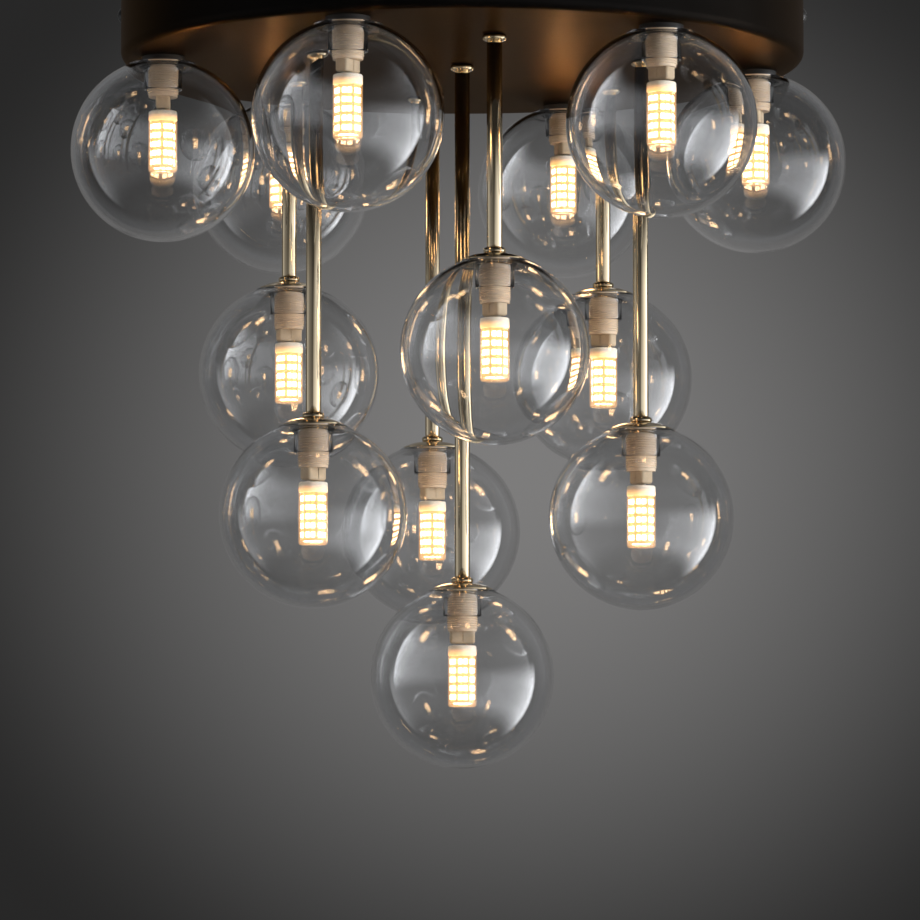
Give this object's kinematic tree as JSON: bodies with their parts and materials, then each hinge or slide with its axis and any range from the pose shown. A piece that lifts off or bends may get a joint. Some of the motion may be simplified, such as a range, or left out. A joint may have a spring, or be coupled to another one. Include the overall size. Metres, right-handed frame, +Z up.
{
  "type": "bubble chandelier",
  "caption": "Flush ceiling chandelier: round black drum canopy with clear glass globes close under it and more on brass rods of three lengths, each with an LED lamp.",
  "frame": {"origin": "centre of the canopy's ceiling face, in the plane that lies on the ceiling", "axes": "+Z up into the ceiling, the globes hang towards -Z, and -Y is the side that the picture shows"},
  "size_m": [0.5111, 0.4896, 0.5102],
  "materials": {
    "black_canopy": "satin",
    "black_screw": "satin",
    "zinc_steel": "satin",
    "brass": "gloss",
    "tinned_copper": "satin",
    "earth_lead": "satin",
    "live_lead": "satin",
    "neutral_lead": "satin",
    "block_plastic": "satin",
    "splitter_plastic": "satin",
    "foam_pad": "matte",
    "black_spacer": "satin",
    "sleeve_plastic": "satin",
    "ceramic": "matte",
    "bronze_clip": "satin",
    "lamp_white": "gloss",
    "clear_glass": "gloss"
  },
  "bodies": {
    "frame": {"block_screws": "zinc_steel", "canopy_pan": "black_canopy", "cap_nuts": "brass", "ceiling_bracket": "zinc_steel", "ceramic_holders": "ceramic", "earth_leads": "earth_lead", "earth_lugs": "tinned_copper", "earth_nut": "brass", "earth_screw": "zinc_steel", "flush_nipples": "zinc_steel", "flush_spacers": "black_spacer", "holder_clips": "bronze_clip", "lead_splitters": "splitter_plastic", "live_leads": "live_lead", "lock_nuts": "zinc_steel", "lock_washers": "zinc_steel", "lower_collars": "brass", "neutral_leads": "neutral_lead", "rod_caps": "brass", "rod_centre": "brass", "rod_long_1": "brass", "rod_long_2": "brass", "rod_long_3": "brass", "rod_short_1": "brass", "rod_short_2": "brass", "rod_short_3": "brass", "side_screws": "black_screw", "splitter_pads": "foam_pad", "terminal_block": "block_plastic", "terminal_screws": "zinc_steel", "thread_sleeves": "sleeve_plastic", "upper_collars": "brass"},
    "globe_flush_1": {"globe_flush_1": "clear_glass"},
    "bulb_flush_1": {"bulb_flush_1": "lamp_white"},
    "globe_flush_2": {"globe_flush_2": "clear_glass"},
    "bulb_flush_2": {"bulb_flush_2": "lamp_white"},
    "globe_flush_3": {"globe_flush_3": "clear_glass"},
    "bulb_flush_3": {"bulb_flush_3": "lamp_white"},
    "globe_flush_4": {"globe_flush_4": "clear_glass"},
    "bulb_flush_4": {"bulb_flush_4": "lamp_white"},
    "globe_flush_5": {"globe_flush_5": "clear_glass"},
    "bulb_flush_5": {"bulb_flush_5": "lamp_white"},
    "globe_flush_6": {"globe_flush_6": "clear_glass"},
    "bulb_flush_6": {"bulb_flush_6": "lamp_white"},
    "globe_short_1": {"globe_short_1": "clear_glass"},
    "bulb_short_1": {"bulb_short_1": "lamp_white"},
    "globe_long_1": {"globe_long_1": "clear_glass"},
    "bulb_long_1": {"bulb_long_1": "lamp_white"},
    "globe_short_2": {"globe_short_2": "clear_glass"},
    "bulb_short_2": {"bulb_short_2": "lamp_white"},
    "globe_long_2": {"globe_long_2": "clear_glass"},
    "bulb_long_2": {"bulb_long_2": "lamp_white"},
    "globe_short_3": {"globe_short_3": "clear_glass"},
    "bulb_short_3": {"bulb_short_3": "lamp_white"},
    "globe_long_3": {"globe_long_3": "clear_glass"},
    "bulb_long_3": {"bulb_long_3": "lamp_white"},
    "globe_centre": {"globe_centre": "clear_glass"},
    "bulb_centre": {"bulb_centre": "lamp_white"}
  },
  "joints": [
    {"name": "globe_off_flush_1", "type": "slide", "parent": "frame", "child": "globe_flush_1", "axis": [0, 0, -1], "range_m": [0, 0.08]},
    {"name": "bulb_out_flush_1", "type": "slide", "parent": "frame", "child": "bulb_flush_1", "axis": [0, 0, -1], "range_m": [0, 0.012]},
    {"name": "globe_off_flush_2", "type": "slide", "parent": "frame", "child": "globe_flush_2", "axis": [0, 0, -1], "range_m": [0, 0.08]},
    {"name": "bulb_out_flush_2", "type": "slide", "parent": "frame", "child": "bulb_flush_2", "axis": [0, 0, -1], "range_m": [0, 0.012]},
    {"name": "globe_off_flush_3", "type": "slide", "parent": "frame", "child": "globe_flush_3", "axis": [0, 0, -1], "range_m": [0, 0.08]},
    {"name": "bulb_out_flush_3", "type": "slide", "parent": "frame", "child": "bulb_flush_3", "axis": [0, 0, -1], "range_m": [0, 0.012]},
    {"name": "globe_off_flush_4", "type": "slide", "parent": "frame", "child": "globe_flush_4", "axis": [0, 0, -1], "range_m": [0, 0.08]},
    {"name": "bulb_out_flush_4", "type": "slide", "parent": "frame", "child": "bulb_flush_4", "axis": [0, 0, -1], "range_m": [0, 0.012]},
    {"name": "globe_off_flush_5", "type": "slide", "parent": "frame", "child": "globe_flush_5", "axis": [0, 0, -1], "range_m": [0, 0.08]},
    {"name": "bulb_out_flush_5", "type": "slide", "parent": "frame", "child": "bulb_flush_5", "axis": [0, 0, -1], "range_m": [0, 0.012]},
    {"name": "globe_off_flush_6", "type": "slide", "parent": "frame", "child": "globe_flush_6", "axis": [0, 0, -1], "range_m": [0, 0.08]},
    {"name": "bulb_out_flush_6", "type": "slide", "parent": "frame", "child": "bulb_flush_6", "axis": [0, 0, -1], "range_m": [0, 0.012]},
    {"name": "globe_off_short_1", "type": "slide", "parent": "frame", "child": "globe_short_1", "axis": [0, 0, -1], "range_m": [0, 0.08]},
    {"name": "bulb_out_short_1", "type": "slide", "parent": "frame", "child": "bulb_short_1", "axis": [0, 0, -1], "range_m": [0, 0.012]},
    {"name": "globe_off_long_1", "type": "slide", "parent": "frame", "child": "globe_long_1", "axis": [0, 0, -1], "range_m": [0, 0.08]},
    {"name": "bulb_out_long_1", "type": "slide", "parent": "frame", "child": "bulb_long_1", "axis": [0, 0, -1], "range_m": [0, 0.012]},
    {"name": "globe_off_short_2", "type": "slide", "parent": "frame", "child": "globe_short_2", "axis": [0, 0, -1], "range_m": [0, 0.08]},
    {"name": "bulb_out_short_2", "type": "slide", "parent": "frame", "child": "bulb_short_2", "axis": [0, 0, -1], "range_m": [0, 0.012]},
    {"name": "globe_off_long_2", "type": "slide", "parent": "frame", "child": "globe_long_2", "axis": [0, 0, -1], "range_m": [0, 0.08]},
    {"name": "bulb_out_long_2", "type": "slide", "parent": "frame", "child": "bulb_long_2", "axis": [0, 0, -1], "range_m": [0, 0.012]},
    {"name": "globe_off_short_3", "type": "slide", "parent": "frame", "child": "globe_short_3", "axis": [0, 0, -1], "range_m": [0, 0.08]},
    {"name": "bulb_out_short_3", "type": "slide", "parent": "frame", "child": "bulb_short_3", "axis": [0, 0, -1], "range_m": [0, 0.012]},
    {"name": "globe_off_long_3", "type": "slide", "parent": "frame", "child": "globe_long_3", "axis": [0, 0, -1], "range_m": [0, 0.08]},
    {"name": "bulb_out_long_3", "type": "slide", "parent": "frame", "child": "bulb_long_3", "axis": [0, 0, -1], "range_m": [0, 0.012]},
    {"name": "globe_off_centre", "type": "slide", "parent": "frame", "child": "globe_centre", "axis": [0, 0, -1], "range_m": [0, 0.08]},
    {"name": "bulb_out_centre", "type": "slide", "parent": "frame", "child": "bulb_centre", "axis": [0, 0, -1], "range_m": [0, 0.012]}
  ]
}
